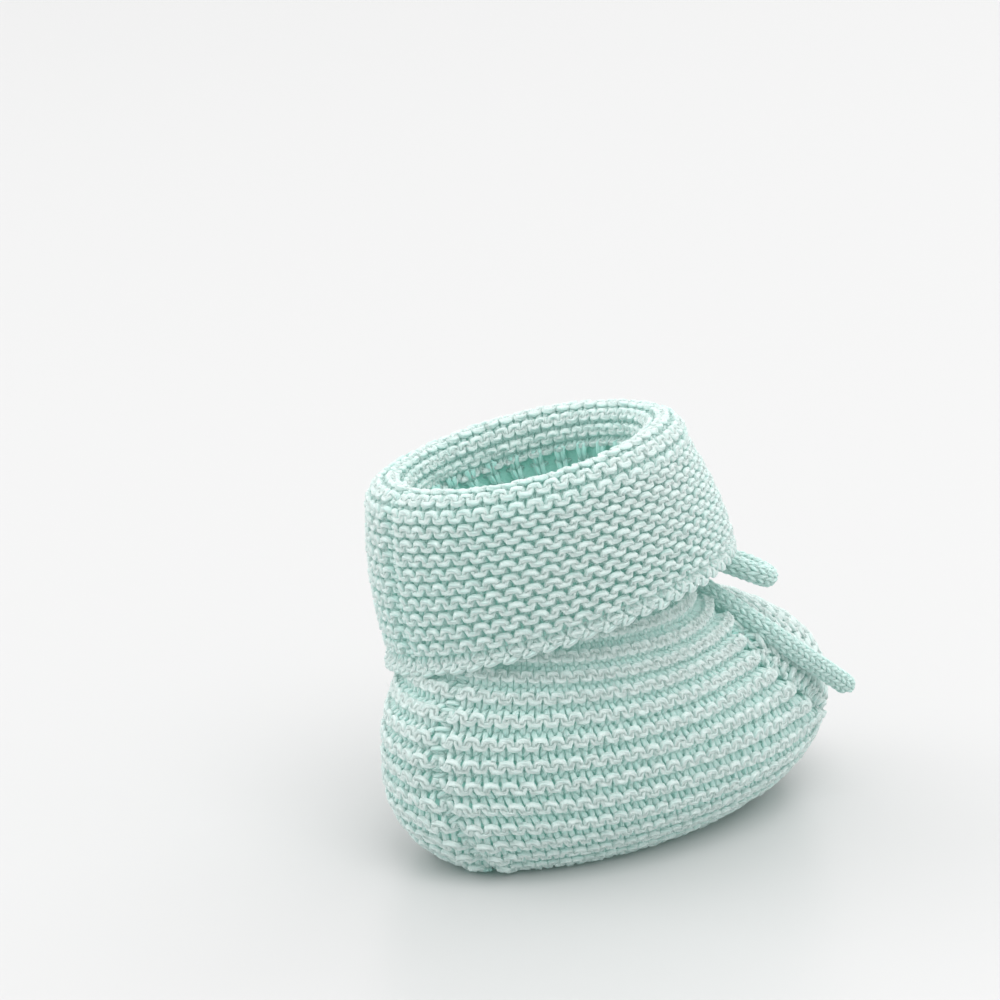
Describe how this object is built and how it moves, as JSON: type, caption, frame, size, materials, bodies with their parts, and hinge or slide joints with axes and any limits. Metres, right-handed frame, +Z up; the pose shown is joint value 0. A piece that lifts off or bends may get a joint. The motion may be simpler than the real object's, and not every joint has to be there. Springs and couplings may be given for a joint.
{
  "type": "baby bootie",
  "caption": "Knitted baby bootie with a garter-stitch foot, a ribbed ankle, a turned-down cuff with a rolled rim, and a knitted cord tied in a bow at the front.",
  "frame": {"origin": "on the floor, at the middle of the bootie's length and width", "axes": "+Y to the toe, +X to the wearer's right, +Z up"},
  "size_m": [0.0632, 0.1066, 0.085],
  "materials": {
    "garter_foot": "soft baby yarn in garter stitch, stretched open over the foot",
    "garter_cuff": "soft baby yarn in close garter stitch",
    "rib": "soft baby yarn in one-by-one rib",
    "cast_off": "cast-off loops of the same yarn",
    "seam": "sewn seam in the same yarn",
    "tie": "narrow knitted cord of the same yarn"
  },
  "bodies": {
    "bootie": {"sole_right": "garter_foot", "sole_left": "garter_foot", "side_wall_right": "garter_foot", "side_wall_left": "garter_foot", "instep_panel": "garter_foot", "ankle_band": "rib", "leg_lining": "garter_cuff", "cuff_fold": "garter_cuff", "cuff": "garter_cuff", "cuff_edge": "cast_off", "sole_seam": "seam", "heel_seam": "seam", "instep_seam": "seam", "leg_seam": "seam", "cuff_seam": "seam", "tie_ankle_cord": "tie", "tie_knot": "tie", "tie_tail_left": "tie", "tie_loop_right": "tie", "tie_loop_left": "tie"},
    "tail_right": {"tie_tail_right": "tie"}
  },
  "joints": [
    {"name": "tail_right_lift", "type": "hinge", "parent": "bootie", "child": "tail_right", "pos_m": [0.0071, 0.0119, 0.0476], "axis": [0.6392, -0.769, 0], "range_deg": [0, 12]}
  ]
}
